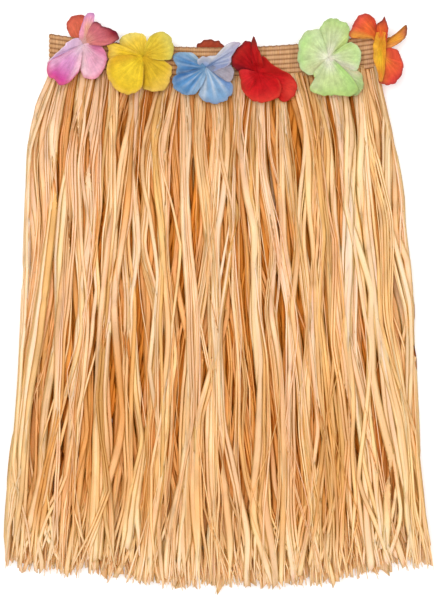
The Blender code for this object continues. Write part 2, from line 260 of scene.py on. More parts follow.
class Shader:
    """A material under construction: its Principled shader and what feeds it.

    Names of sockets may have _ for a blank.
    """

    def __init__(self, name, **values):
        self.material = bpy.data.materials.new(name)
        self.material.use_nodes = True
        self.tree = self.material.node_tree
        self.base = self.tree.nodes["Principled BSDF"]
        self.feed(self.base, values)

    def feed(self, node, values):
        """Links a socket to another node's where the value is one, and otherwise sets it."""
        for name, value in values.items():
            socket = node.inputs[name.replace("_", " ") if isinstance(name, str) else name]
            if isinstance(value, bpy.types.NodeSocket):
                self.tree.links.new(value, socket)
            else:
                socket.default_value = value

    def node(self, kind, settings, *by_place, **by_name):
        made = self.tree.nodes.new(kind)
        for key, value in settings.items():
            setattr(made, key, value)
        self.feed(made, dict(enumerate(by_place)))
        self.feed(made, by_name)
        return made.outputs

    def attribute(self, name, output):
        return self.node("ShaderNodeAttribute", {"attribute_name": name})[output]

    def noise(self, scale, detail=2.0, roughness=0.5):
        """Noise along the grain."""
        grain = self.attribute("grain", "Vector")
        scaled = self.node("ShaderNodeVectorMath", {"operation": "MULTIPLY"}, grain, scale)["Vector"]
        values = {"Vector": scaled, "Scale": 1.0, "Detail": detail, "Roughness": roughness}
        return self.node("ShaderNodeTexNoise", {}, **values)["Fac"]

    def range(self, value, low, high, to_low, to_high):
        """The value taken from one range to another; past its ends it stays at them."""
        return self.node("ShaderNodeMapRange", {}, value, low, high, to_low, to_high)["Result"]

    def math(self, operation, a, b):
        return self.node("ShaderNodeMath", {"operation": operation}, a, b)["Value"]

    def shaded_tint(self, *shades):
        """The colour at each point made lighter or darker by these numbers."""
        shade = shades[0]
        for other in shades[1:]:
            shade = self.math("MULTIPLY", shade, other)
        tint = self.attribute("tint", "Color")
        return self.node("ShaderNodeVectorMath", {"operation": "SCALE"}, tint, Scale=shade)["Vector"]

    def painted_crevice_shade(self, colour):
        """Painted shade: the colour made deeper and more orange where other pieces lie close, in the
        crevices, as light that passes through them would make it.
        """
        near = self.node("ShaderNodeAmbientOcclusion", {"samples": 6}, Distance=CREVICE_SHADE_REACH)["AO"]
        kind = {"data_type": "RGBA", "blend_type": "MULTIPLY"}
        return self.node(
            "ShaderNodeMix", kind, Factor=self.range(near, *CREVICE_SHADE_RANGE), A=colour, B=(*CREVICE_SHADE_TONE, 1)
        )["Result"]

    def bump(self, height, distance, strength):
        made = self.node("ShaderNodeBump", {}, Height=height, Distance=distance, Strength=strength)
        self.feed(self.base, {"Normal": made["Normal"]})


# Noises: waves in a metre across the grain, along it and from one ribbon to the next, detail and roughness
FIBRES = ((2600.0, 34.0, 1.0), 3.0, 0.6)
STRETCHES = ((240.0, 22.0, 1.0), 2.0)
SPECKS = ((900.0, 420.0, 1.0), 1.0)
THREADS = ((14000.0, 700.0, 1.0), 0.0)
CROSS_THREADS = ((700.0, 14000.0, 1.0), 0.0)
VEINS = ((700.0, 60.0, 1.0), 2.0)
CREASES = ((330.0, 210.0, 1.0), 3.0, 0.6)
CRINKLE_SHADE_PATCHES = ((260.0, 130.0, 1.0), 3.0, 0.6)


def raffia_material(name):
    """Dried palm leaf: fine fibres along each ribbon, paler stretches, dark specks and a dull gloss, with
    painted shade in the crevices where other pieces lie close.
    """
    shader = Shader(
        name,
        Specular_IOR_Level=0.10,
        Subsurface_Weight=0.45,
        Subsurface_Radius=(1.0, 1.0, 1.0),
        Subsurface_Scale=0.0002,
    )
    fibres = shader.noise(*FIBRES)
    tint = shader.shaded_tint(
        shader.range(fibres, 0.3, 0.7, 0.94, 1.05),
        shader.range(shader.noise(*STRETCHES), 0.3, 0.7, 0.92, 1.05),
        shader.range(shader.noise(*SPECKS), 0.66, 0.78, 1.0, 0.72),
    )
    gloss = shader.range(fibres, 0.3, 0.7, 0.62, 0.42)
    shader.feed(shader.base, {"Base Color": shader.painted_crevice_shade(tint), "Roughness": gloss})
    shader.bump(fibres, distance=0.00025, strength=0.35)
    return shader.material


def silk_material(name):
    """Printed polyester silk: a fine plain weave, slightly creased, with pressed veins and patches of painted
    shade and highlight for its crinkles.
    """
    shader = Shader(
        name,
        Roughness=0.62,
        Specular_IOR_Level=0.08,
        Subsurface_Weight=0.15,
        Subsurface_Radius=(1.0, 0.8, 0.6),
        Subsurface_Scale=0.002,
    )
    threads = shader.math("ADD", shader.noise(*THREADS), shader.noise(*CROSS_THREADS))
    veins = shader.noise(*VEINS)
    tint = shader.shaded_tint(
        shader.range(threads, 0.75, 1.25, 0.93, 1.05),
        shader.range(veins, 0.3, 0.7, 0.92, 1.06),
        # Paler and darker patches: painted shade and highlight of the crinkles.
        shader.range(shader.noise(*CRINKLE_SHADE_PATCHES), 0.32, 0.68, 0.84, 1.12),
    )
    shader.feed(shader.base, {"Base Color": tint})
    height = shader.math("ADD", threads, shader.math("MULTIPLY", veins, 2.0))
    creases = shader.math("MULTIPLY", shader.noise(*CREASES), 9.0)
    shader.bump(shader.math("ADD", height, creases), distance=0.00022, strength=0.6)
    return shader.material


# ---------------------------------------------------------------- raffia ribbons

# A pair in brackets is a range that a random value is drawn from
RIBBON_SEED = 500  # added to that of the layer's strands
RIBBON_WALL = 0.00028
SECTION = np.array((-1.0, -0.35, 0.35, 1.0, 0.35, -0.35))  # across the top and back underneath
SECTION_UNDER = np.array((0, 0, 0, 0, 1, 1), float)
SECTION_ENDS = np.array(((0, 1, 4, 5), (1, 2, 3, 4)))

# Where ribbons run
STRAND_PITCH = 0.0080  # what the ribbons of one strand spread over
ROOT_TUCK = 0.0045  # the roots lie on the band up to its lowest elastic
END_PAST = (-0.002, 0.008)
FIBRE_PAST = (0.0, 0.008)
FLAT_ROOT, RISE_LENGTH = 0.012, 0.075  # how far a layer lies on the strip, and rises to its level
LONG_WAVES = (0.09, 0.17)
SWING_LENGTH = 0.11
SHORT_WAVES = (0.025, 0.050)
KINK, KINK_FROM = 0.0007, 0.02
ROOT_KINK, ROOT_KINK_FROM, ROOT_KINK_FADE = 0.0013, 0.03, 0.15
SWEEP, SWEEP_MOST = 0.010, 0.026  # how far the ends turn aside
SWEEP_LENGTHS = (0.06, 0.13)
LOOSE_SHARE = 0.20  # ribbons that lie across the others
LOOSE_STRAY = 2.8
OWN_STRAY = 0.5  # how far the ribbons of one strand stray from each other
LANES = 4
LANE_PITCH = 0.00020
OWN_LANE = 0.00022
FIBRE_LIFT = 0.0012
LOWEST = 0.0001
LAYER_SINK = 0.0012  # how deep a layer may sink into the one below

# Bundles: the places where ribbons of a layer gather
BUNDLES_FROM, BUNDLES_TO, BUNDLES_HALF = 0.060, 0.70, 0.27
BUNDLE_WIDTHS = (0.013, 0.029)
BUNDLE_LEVELS = (0.065, 0.120)
BUNDLE_SLANT = 0.018
LEAST_RUN = 0.01
PULLS = (0.72, 1.0)
ROOT_PULL = 0.7
BEND = 0.012  # over which a ribbon turns from one straight run to the next

# The sides of the laid grass
FLARE_SHARE = 0.035  # the part of the width, at each side, whose ribbons flare out below the band
SIDE_INSET = 0.0048  # between a ribbon's middle and the side
SIDE_HOLD = 0.9
SIDE_ROUNDING = 0.035

# How wide ribbons are, how they roll and twist, and how they end
WIDTHS = (0.0036, 0.0078)
NARROW_WIDTHS, NARROW_SHARE = (0.0014, 0.0028), 0.22
FIBRE_WIDTHS = (0.0006, 0.0011)
BACK_WIDER = 1.45  # the ribbons of the back half against those of the front
WIDTH_WAVES = (0.05, 0.10)
ROOT_NARROW_LENGTH = 0.06
ROLL_WAVES, ROLL_FROM = (0.06, 0.12), 0.03
TWIST_SHARE = 0.28
HIGH_KNOTS, HIGH_KNOT_SHARE = (0.012, 0.10), 0.6
KNOT_LENGTH, KNOT_LIFT = 0.0045, 0.0003
BLUNT_SHARE = 0.35
BLUNT_TAPERS = (0.003, 0.006)
POINTED_TAPERS = (0.020, 0.070)
OBLIQUE_LENGTH = 0.010
FRAYED_SHARE = 0.22
PARTINGS, PARTED = (0.03, 0.09), (0.002, 0.007)  # how long a frayed end is, and how far its halves part
HALF_LIFT = 0.0003
STRAY_FIBRES = 16

# Colours along ribbons
OWN_TINT = 0.35
TINT_WAVE = 0.12
SIDE_LIGHT = 0.036  # at the sides the lower layers show, and all are paler
SIDE_PALE = 0.6
TIP_PALE = 0.5
HEM_DEPTH = 0.05  # how much of a layer's painted shade is left at the hem
PATCH = 0.09  # how much paler and darker patches of a layer are, and narrower streaks in them
STREAK = 0.12
BRIGHT_WAVE = 0.06
# painted shade along each ribbon's edges, where it meets the ones beside and below it
EDGE_PAINTED_SHADE = np.array((1.0, 0.92, 0.70))
ROOT_TONE, ROOT_TONE_LENGTH = np.array((0.83, 0.77, 0.72)), 0.14
HEM_TONE = np.array((0.95, 0.87, 0.73))

Run = namedtuple("Run", "y along fallen tip risen")


def run_of(draw, ys, layer, fibre):
    """The places along a ribbon from the band's lowest elastic to the hem.

    They are given as y, as distances from the root, as shares of the length, as distances from the tip, and
    as shares of the way up to the layer's level.
    """
    start = ys[0] + STRIP_HEIGHT / 2 + ROOT_TUCK
    end = ys[-1] + draw.uniform(*END_PAST) - (draw.uniform(*FIBRE_PAST) if fibre else 0)
    y = np.linspace(start, end, layer.rings)
    along = start - y
    return Run(y, along, along / along[-1], along[-1] - along, smooth((along - FLAT_ROOT) / RISE_LENGTH))


def along_knots(knots, values, places):
    """A curve through the values at rising knots, with no corners."""
    slopes = np.gradient(values, knots)
    i = np.clip(np.searchsorted(knots, places) - 1, 0, len(knots) - 2)
    step = knots[i + 1] - knots[i]
    t = (places - knots[i]) / step
    return (
        values[i] * (1 + 2 * t) * (1 - t) ** 2
        + slopes[i] * step * t * (1 - t) ** 2
        + values[i + 1] * t * t * (3 - 2 * t)
        + slopes[i + 1] * step * t * t * (t - 1)
    )


def drift(draw, along, spacing, amount, softness=1.0):
    """A random curve along these distances that turns about once in each spacing.

    With a softness of 0 it has corners. The spacing may be a range to draw from.
    """
    if isinstance(spacing, tuple):
        spacing = draw.uniform(*spacing)
    place = along / spacing + draw.random()
    values = np.array([draw.uniform(-amount, amount) for _ in range(int(place[-1]) + 2)])
    i = place.astype(int)
    t = place - i
    return mix(values[i], values[i + 1], mix(t, smooth(t), softness))


def rounded(along, values):
    """The values with their corners rounded off over a BEND to each side."""
    return sum(np.interp(along + step * BEND, along, values) for step in (-1, -0.6, -0.2, 0.2, 0.6, 1)) / 6


def bundle_levels(draw):
    """Where the ribbons of a layer gather: distances below the band, with the bundles' middles at each."""
    levels = []
    place = BUNDLES_FROM
    while place < BUNDLES_TO:
        middles = [-BUNDLES_HALF]
        while middles[-1] < BUNDLES_HALF:
            middles.append(middles[-1] + draw.uniform(*BUNDLE_WIDTHS))
        levels.append((place, np.array(middles)))
        place += draw.uniform(*BUNDLE_LEVELS)
    return levels


def gathered(draw, x, along, levels, share):
    """How far a ribbon is pulled sideways to the nearest bundle at each level."""
    places, pulls = [0.0], [0.0]
    for place, middles in levels:
        place = place + BUNDLE_SLANT * math.sin(x[0] * 45 + place * 31)
        here = np.interp(place, along, x)
        nearest = middles[np.abs(middles - here).argmin()]
        places.append(max(place, places[-1] + LEAST_RUN))
        pulls.append((nearest - here) * share * draw.uniform(*PULLS))
    pulls[0] = ROOT_PULL * pulls[1]
    return rounded(along, np.interp(along, places, pulls))


def side_lines(y):
    """The x of the left and of the right side at each y, with the corners of SIDES rounded off."""
    knots = np.array(SIDES)
    near = [y + step * SIDE_ROUNDING for step in (-1, -0.5, 0, 0.5, 1)]
    return [sum(np.interp(-at, -knots[:, 0], knots[:, side]) for at in near) / len(near) for side in (1, 2)]


def from_sides(x, y):
    """How far inside the left and the right side of the laid grass each place is."""
    left, right = side_lines(y)
    return x - left, right - x


def held_in(x, y):
    """The x of a ribbon kept near the sides of the laid grass."""
    past_left, past_right = (np.maximum(SIDE_INSET - inside, 0) for inside in from_sides(x, y))
    return x + SIDE_HOLD * (past_left - past_right)


def straightened(x, y, fallen, evened):
    """How far a ribbon's path moves so that, away from the sides, it runs straight from the band to the hem.

    With evened, it also moves that share of the way to where evenly spread ribbons would be.
    """
    left, right = BAND_LEFT + STRIP_INSET, BAND_RIGHT - STRIP_INSET
    share = min(max((x[0] - left) / (right - left), 0.0), 1.0)
    left, right = side_lines(np.minimum(y, LEVELS[0]))
    spread_out = np.clip((y[0] - y) / (y[0] - LEVELS[0]), 0, 1)
    flared = mix(x[0], mix(left, right, share), spread_out)
    straight = mix(x[0], flared[-1], fallen)
    return (straight - flared) * min(min(share, 1 - share) / FLARE_SHARE, 1) + evened * (flared - x)


def ribbon_path(draw, run, rings, aside, rank, levels, layer, fibre):
    """The x and z of a ribbon's middle: along its strand, into the bundles, and straying."""
    y, along, fallen, tip, risen = run
    xs, ys, zs = np.array(rings).T
    strand = random.Random(xs[0])
    x = along_knots(-ys, xs, -y)
    z = along_knots(-ys, zs, -y)
    loose = fibre or (layer.level > 0 and draw.random() < LOOSE_SHARE)
    x = x + straightened(x, y, fallen, layer.evened)
    x += gathered(strand, x, along, levels, 0.25 if loose else layer.bundling)
    x += aside * mix(0.85, 1.1, fallen)
    swing = mix(0.5, 1.4, fallen) * smooth(along / SWING_LENGTH)
    stray = layer.stray * (LOOSE_STRAY if loose else OWN_STRAY)
    x += drift(strand, along, LONG_WAVES, layer.stray, 0.1) * swing
    x += drift(draw, along, LONG_WAVES, stray, 0.1) * swing
    x += drift(draw, along, SHORT_WAVES, KINK, 0.3) * smooth(along / KINK_FROM)
    kinks = drift(draw, along, SHORT_WAVES, ROOT_KINK, 0.3) * smooth(along / ROOT_KINK_FROM)
    x += kinks * smooth(1.3 - along / ROOT_KINK_FADE)
    sweep = min(max(draw.gauss(0, SWEEP), -SWEEP_MOST), SWEEP_MOST) if layer.level else 0.0
    x += sweep * np.clip(1 - tip / draw.uniform(*SWEEP_LENGTHS), 0, 1)
    lane = strand.randrange(LANES) * LANE_PITCH + rank * OWN_LANE if layer.level else 0.0
    lane = LANES * LANE_PITCH + rank * OWN_LANE if loose else lane
    z += lane * risen + STRAND_WALL / 2
    if fibre:
        z += FIBRE_LIFT * risen
    return x, z


def ribbon_form(draw, run, layer, fibre):
    """A ribbon's width, its roll about its length, and where its knots are, from 0 to 1."""
    _, along, fallen, tip, _ = run
    width = draw.uniform(*WIDTHS)
    if draw.random() < NARROW_SHARE:
        width = draw.uniform(*NARROW_WIDTHS)
    width *= 1.0 if layer.panel else BACK_WIDER
    if fibre:
        width = draw.uniform(*FIBRE_WIDTHS)
    width = width * (1 + drift(draw, along, WIDTH_WAVES, 0.30))
    width *= mix(0.85, 1.0, smooth(along / ROOT_NARROW_LENGTH))
    roll = np.radians(drift(draw, along, ROLL_WAVES, layer.roll))
    if layer.level and draw.random() < TWIST_SHARE:
        turn = smooth((fallen - draw.uniform(0.10, 0.85)) / draw.uniform(0.08, 0.16) + 0.5)
        roll += draw.choice((-1, 1)) * math.pi * turn
        width *= 1 - 0.35 * np.sin(math.pi * turn) ** 2
    roll *= smooth(along / ROLL_FROM)
    knot = np.zeros(layer.rings)
    for _ in range(draw.choice((1, 2, 2, 3))):
        high = draw.random() < HIGH_KNOT_SHARE
        at = draw.uniform(*(HIGH_KNOTS if high else (HIGH_KNOTS[1], along[-1])))
        knot += np.exp(-(((along - at) / KNOT_LENGTH) ** 2))
    knot = np.minimum(knot, 1.0)
    width *= 1 - 0.22 * knot
    blunt = draw.random() < BLUNT_SHARE
    taper = draw.uniform(*(BLUNT_TAPERS if blunt else POINTED_TAPERS))
    width *= mix(0.85 if blunt else 0.25, 1.0, smooth(tip / taper))
    return width, roll, knot


def section_height(draw):
    """How high a ribbon stands across its width, as a share of it: arched, folded, hollow or wavy."""
    u = SECTION
    kind = draw.random()
    if kind < 0.40:
        return draw.uniform(0.01, 0.06) * (1 - u * u)
    if kind < 0.70:
        ridge = draw.uniform(-0.5, 0.5)
        return draw.uniform(0.02, 0.08) * (1 - np.abs(u - ridge) / (1 + abs(ridge)))
    if kind < 0.85:
        return -draw.uniform(0.01, 0.05) * (1 - u * u)
    return draw.uniform(0.01, 0.03) * np.sin(math.pi * u + draw.uniform(0, math.tau))


def ribbon_points(draw, run, x, z, width, roll, oblique, layer):
    """A ring of points across the ribbon at each of its places, above the floor and the layer below."""
    centre = np.stack([x, run.y, z], axis=1)
    forward = np.gradient(centre, axis=0)
    forward /= np.linalg.norm(forward, axis=1)[:, None]
    side = np.array((1.0, 0.0, 0.0)) - forward * forward[:, :1]
    side /= np.linalg.norm(side, axis=1)[:, None]
    up = np.cross(forward, side)
    up *= np.sign(up[:, 2:])
    cos, sin = np.cos(roll)[:, None], np.sin(roll)[:, None]
    side, up = side * cos + up * sin, up * cos - side * sin
    u = SECTION[None, :, None]
    half = (width / 2)[:, None, None]
    raised = section_height(draw) * width[:, None] - SECTION_UNDER * RIBBON_WALL
    points = centre[:, None] + side[:, None] * u * half + up[:, None] * raised[..., None]
    points += forward[:, None] * u * half * oblique[:, None, None]
    floor = layer.level * LAYER_PITCH * run.risen - LAYER_SINK if layer.level else LOWEST
    points[..., 2] += np.maximum(floor - points[..., 2].min(axis=1), 0.0)[:, None]
    return points


def raffia_tint(draw, strand):
    """Two colours for a ribbon to vary between, near those of the other ribbons of its strand."""
    shared = random.Random(strand).choices(RAFFIA, RAFFIA_WEIGHTS, k=2)
    own = draw.choices(RAFFIA, RAFFIA_WEIGHTS, k=2)
    return [mix(a, b, OWN_TINT) for a, b in zip(shared, own)]


def ribbon_tint(draw, run, x, knot, strand, layer):
    """The colour of a ribbon at each point of its rings, with painted shade on the lower layers and along its
    edges.
    """
    y, along, fallen, _, _ = run
    first, second = raffia_tint(draw, strand)
    colour = mix(first, second, smooth(0.5 + drift(draw, along, TINT_WAVE, 0.7))[:, None])
    # Painted shade: each layer's colour goes towards RAFFIA_PAINTED_SHADE by its depth, less at the hem and
    # none at the sides.
    inside = smooth(np.minimum(*from_sides(x, y)) / SIDE_LIGHT)
    depth = layer.depth * mix(1.0, HEM_DEPTH, smooth((fallen - 0.75) / 0.2)) * inside
    colour = mix(colour, RAFFIA_PAINTED_SHADE, depth[:, None])
    pale = np.maximum(SIDE_PALE * (1 - inside), TIP_PALE * smooth((fallen - 0.86) / 0.12))
    colour = mix(colour, RAFFIA_PALE, pale[:, None])
    seed = layer.seed
    patch = np.sin(x * 150 + seed) * np.sin(y * 21 + x * 37 + seed * 2)
    streak = np.sin(x * 480 + 9 * np.sin(y * 14 + seed)) * np.sin(y * 45 + x * 90)
    bright = 1.035 + drift(draw, along, BRIGHT_WAVE, 0.10) - 0.16 * knot
    bright = bright + PATCH * patch + STREAK * streak
    colour = colour * mix(ROOT_TONE, 1.0, smooth(along / ROOT_TONE_LENGTH)[:, None])
    hem = smooth((fallen - 0.45) / 0.4) * smooth((1.04 - fallen) / 0.2)
    colour = colour * mix(1.0, HEM_TONE, hem[:, None]) * bright[:, None]
    # Each ribbon's edges are darker and more orange: painted shade at the seams.
    tint = colour[:, None] * mix(1.0, EDGE_PAINTED_SHADE, (SECTION**2)[:, None])
    return np.clip(tint, 0, RAFFIA_BRIGHTEST)


def ribbon(layer, levels, seed, rings, aside, rank, part=0, fibre=False):
    """Points, tint, grain and faces of one ribbon of the strand with these rings.

    It lies aside of the strand's middle, and rank is its place in the pile of the strand's ribbons. One with
    a frayed end is made as two parts, -1 and 1, from one seed, which part from each other there. A fibre is a
    thin ribbon that strays more.
    """
    draw = random.Random(seed)
    strand = rings[0][0]
    run = run_of(draw, [ring[1] for ring in rings], layer, fibre)
    x, z = ribbon_path(draw, run, rings, aside, rank, levels, layer, fibre)
    width, roll, knot = ribbon_form(draw, run, layer, fibre)
    z += KNOT_LIFT * knot
    oblique = draw.uniform(-1.4, 1.4) * smooth(1 - run.tip / OBLIQUE_LENGTH)
    parting = draw.uniform(*PARTINGS)
    apart = draw.uniform(*PARTED) * smooth(1 - run.tip / parting)
    laid_x = x
    if part:
        laid_x = x + part * (width / 4 + apart)
        width = width * draw.uniform(0.45, 0.5)
        z += HALF_LIFT * part
    points = ribbon_points(draw, run, held_in(laid_x, run.y), z, width, roll, oblique, layer)
    tint = ribbon_tint(draw, run, x, knot, strand, layer)
    grain = np.empty_like(points)
    grain[..., 0] = SECTION * (width / 2)[:, None] + draw.uniform(0, 1)
    grain[..., 1] = run.along[:, None]
    grain[..., 2] = draw.uniform(0, 100) + SECTION_UNDER * 7
    loop = len(SECTION)
    last = (layer.rings - 1) * loop
    faces = [grid_faces(layer.rings, loop, True), SECTION_ENDS, SECTION_ENDS[:, ::-1] + last]
    return *(values.reshape(-1, 3) for values in (points, tint, grain)), np.concatenate(faces)


def make_grass(layer, material):
    """One layer of ribbons in one mesh."""
    draw = random.Random(layer.seed + RIBBON_SEED)
    strands = strand_rings(layer)
    parts = []
    levels = bundle_levels(draw)
    for rings in strands:
        ranks = draw.sample(range(layer.ribbons), layer.ribbons)
        for i, rank in enumerate(ranks):
            aside = (i - (layer.ribbons - 1) / 2) * STRAND_PITCH / layer.ribbons
            frayed = draw.random() < FRAYED_SHARE
            seed = draw.random()
            for part in (-1, 1) if frayed else (0,):
                parts.append(ribbon(layer, levels, seed, rings, aside, rank, part))
    for _ in range(STRAY_FIBRES if layer.level else 0):
        aside = draw.uniform(-0.5, 0.5) * STRAND_PITCH
        seed = draw.random()
        parts.append(ribbon(layer, levels, seed, draw.choice(strands), aside, layer.ribbons, fibre=True))
    return new_piece("raffia_" + layer.name.removeprefix("grass_"), parts, material, layer.name)


# ---------------------------------------------------------------- shirred band

BAND_SEED = 41
PUFFS = 7
PUFF_ROWS = 7  # of points across each puff
BAND_STEP = 0.00055
FOLD_STEPS = 20  # round each end of the flattened ring
GATHERS = (0.0012, 0.0030)
GATHER_DEPTH = 0.0007
PINCH_DEPTH = 0.0012
PUFF_SHIFTS = (0, 0.002)
SHELL = 0.0012
EDGE_WAVES = ((0.0004, 900, 0.0), (0.0003, 2300, 1.0))  # of the top edge: height, frequency and phase
EDGE_HEIGHT = 0.004
BAND_COLOURS = np.array(RAFFIA[1:5])
BAND_TONE = np.array((0.84, 0.75, 0.70))
# painted shade in the band's pinches and fold hollows, and on its inside walls
BAND_PAINTED_SHADE = linear(0x7A502C)


def band_loop():
    """Points round the flattened ring as (x, z, outward x, outward z), from the left end along the front."""
    middle = BAND_LIFT + BAND_WALL + GAP / 2
    radius = (BAND_WALL + GAP) / 2
    left, right = BAND_LEFT + radius + BAND_WALL / 2, BAND_RIGHT - radius - BAND_WALL / 2
    straight = np.linspace(left, right, int((right - left) / BAND_STEP))
    flat, one = np.zeros_like(straight), np.ones_like(straight)
    turn = np.linspace(0, math.pi, FOLD_STEPS + 2)[1:-1]
    sin, cos = np.sin(turn), np.cos(turn)
    front = np.stack([straight, middle + radius * one, flat, one])
    right_fold = np.stack([right + radius * sin, middle + radius * cos, sin, cos])
    back = np.stack([straight[::-1], middle - radius * one, flat, -one])
    left_fold = np.stack([left - radius * sin, middle - radius * cos, -sin, -cos])
    return np.concatenate([front, right_fold, back, left_fold], axis=1)


def gathers(draw, place, length):
    """Heights of a row of narrow folds, from 0 to 1, at each place along it, with a shade for each fold."""
    edges = [0.0]
    while edges[-1] < length:
        edges.append(edges[-1] + draw.uniform(*GATHERS))
    edges = np.array(edges) * length / edges[-1]
    heights = np.array([draw.uniform(0.45, 1.0) for _ in edges])
    shades = np.array([draw.uniform(0.0, 1.0) for _ in edges])
    i = np.clip(np.searchsorted(edges, place, side="right") - 1, 0, len(edges) - 2)
    share = (place - edges[i]) / (edges[i + 1] - edges[i])
    return heights[i] * np.sin(math.pi * share) ** 0.8, shades[i]


def make_band(material):
    """A ring of gathered raffia: rows of puffs between elastic threads, outside and inside walls, closed."""
    draw = random.Random(BAND_SEED)
    x, z, out_x, out_z = band_loop()
    steps = np.hypot(np.diff(x, append=x[0]), np.diff(z, append=z[0]))
    place = np.cumsum(steps) - steps
    length = steps.sum()
    rows = PUFFS * PUFF_ROWS + 1
    whole, whole_shade = gathers(draw, place, length)
    own = [gathers(draw, (place + draw.uniform(*PUFF_SHIFTS)) % length, length) for _ in range(PUFFS)]
    top_edge = sum(height * np.sin(place * frequency + phase) for height, frequency, phase in EDGE_WAVES)
    points, tint = [], []
    for row in range(rows):
        folds, fold_shade = own[min(row // PUFF_ROWS, PUFFS - 1)]
        folds = mix(whole, folds, 0.5)
        swell = abs(math.sin(math.pi * row / PUFF_ROWS)) ** 0.7
        depth = BAND_HEIGHT * row / (rows - 1)
        sunk = GATHER_DEPTH * (1 - folds) * mix(0.35, 1.0, swell)
        height = BAND_WALL / 2 - PINCH_DEPTH * (1 - swell) - sunk
        at_top = float(smooth(1 - depth / EDGE_HEIGHT))
        y = band_top(x) - depth + top_edge * at_top
        points.append(np.stack([x + out_x * height, y, z + out_z * height], axis=1))
        shade = mix(whole_shade, fold_shade, 0.4)
        own_colour = BAND_COLOURS[(shade * (len(BAND_COLOURS) - 0.01)).astype(int)]
        base = mix(BAND_COLOURS.mean(axis=0), own_colour, 0.4) * BAND_TONE
        # Painted shade in the pinches at the elastic threads and in the hollows between folds; darker at the
        # top edge too.
        dark = 0.66 * (1 - swell) + 0.44 * (1 - folds) + 0.35 * at_top
        tint.append(mix(base, BAND_PAINTED_SHADE, np.clip(dark, 0, 1)[:, None]))
    for row in (rows - 1, rows * 2 // 3, rows // 3, 0):
        depth = BAND_HEIGHT * row / (rows - 1)
        height = BAND_WALL / 2 - SHELL - GATHER_DEPTH
        points.append(np.stack([x + out_x * height, band_top(x) - depth, z + out_z * height], axis=1))
        # The inside walls are tinted half way to the painted shade.
        tint.append(np.tile(mix(RAFFIA[3], BAND_PAINTED_SHADE, 0.5), (len(x), 1)))
    count = len(points)
    closing = grid_faces(2, len(x), True)
    closing = np.where(closing >= len(x), closing - len(x), closing + (count - 1) * len(x))
    faces = np.concatenate([grid_faces(count, len(x), True), closing])
    down = BAND_HEIGHT * np.arange(count)[:, None] / rows
    grain = np.stack(np.broadcast_arrays(place, down, 0.0), axis=-1)
    part = [np.reshape(values, (-1, 3)) for values in (points, tint, grain)]
    return new_piece("shirred_band", [(*part, faces)], material, "waistband")


# ---------------------------------------------------------------- silk flowers

OUTLINE_UNIT = 0.001  # a petal's outline is given in millimetres
PETAL_ROWS, PETAL_COLUMNS = 22, 60
PETAL_START = 0.004  # the first row, as a share of the way from a petal's root to its rim
CURVE_STEPS = 12
PETAL_WALL = 0.0010
SILK = 0.00035
FRAY_LENGTH, FRAY_DEPTH = 0.0040, 0.0009  # the uneven cut of a petal's rim
THREAD_ENDS = (-0.00030, 0.00030)
BROAD = 0.6  # the part of a petal's rim that reaches this share of its length is its breadth
OVERLAP_RADIUS = 0.0110
CORE_RADIUS = 0.0050
TIER_RISE = 0.0025
CONE = 0.12
DOME, DOME_END = 0.0012, 1.1
PLEAT_DEPTH = 0.00028
RUFFLE_LENGTH, RUFFLE_FROM = 0.011, 0.02
CREASE_PLACES, CREASE_WIDTH = (-0.15, 0.15), 0.22
CRUMPLE_DEPTH, CRUMPLE_FROM = 0.00016, 0.5
CRUMPLES = ((0.4, 0.0083), (1.3, 0.0117), (2.2, 0.0071), (2.9, 0.0141))  # directions in radians, and lengths
PRESSED_LOW = 0.0004  # the height of the lowest petal of a flower pressed under the band
PRESSED_DOME = 0.0003
PRESSED_WAVE = 0.35  # what is left of the waves of its petals
PRESSED_TIERS = (0, 1, 0, 1, 2)  # how its petals lie over each other

PAINTED_HIGHLIGHT_STREAK = linear(0xE2E8EE)
SILK_TONE = 0.86

# A petal's outline runs counterclockwise from beside the flower's middle, round the tip and back, with +X to
# the right and +Y up. Then come the colours at the root, middle and end, on the right and left seen from the
# flower's middle, and at the rim, how much the rim waves, the height of a crease along the petal, where the
# root lies, and how strong the pale streaks of painted highlight are.
Petal = namedtuple(
    "Petal",
    "tier outline root middle end right left rim wave crease at streaks",
    defaults=(0.0010, 0.0, (0, 0), 0.0),
)
Flower = namedtuple("Flower", "name slot x y petals")
LILAC = (
    Petal(2, ((5, 0), (13, -1), (23, -3), (33, 0), (40, 5), (35, 13), (24, 18), (13, 23), (6, 14)),
        0xF0A892, 0xCE6C76, 0x8C081E, 0xDA7878, None, 0x601E32, 0.0005),
    Petal(1, ((9, 4), (14, 13), (13, 24), (12, 32), (5, 33), (0, 24), (-4, 11), (-4, 4)),
        0xE4B0AA, 0xF6B098, 0xEA9EC8, 0xE2AAAC, 0xF4A0B8, 0xC48CBE, 0.0008),
    # The left petal stands on edge: its purple-grey colours are painted shade, and its pale rim a painted
    # highlight.
    Petal(0, ((-4, 7), (-14, 4), (-25, -7), (-38, -19), (-37, -23), (-27, -20), (-14, -12), (-3, -4)),
        0xD8B0C0, 0xC89EC6, 0xD6A4D0, 0xDCB6D4, 0xBE8EBA, 0xFAE0EA, 0.0004),
    Petal(1, ((-3, -3), (-16, -9), (-27, -15), (-38, -22), (-37, -34), (-30, -41), (-23, -46), (-14, -42),
        (-8, -36), (-3, -28), (-1, -15), (0, -6)),
        0xF6D6E2, 0xE096C8, 0xD03E96, 0xEEB0D0, 0xF8C4D2, 0xDE6088, 0.0013, 0.0008),
    Petal(0, ((-1, -3), (-3, -15), (-3, -28), (1, -36), (7, -39), (15, -38), (22, -31), (26, -22),
        (25, -11), (22, -4), (14, 0), (5, 1)),
        0xF0C8D2, 0xF0ACC4, 0xF4B2C8, 0xFAD0D6, 0xE480A8, 0xEA8C9C, 0.0008, -0.0016),
)
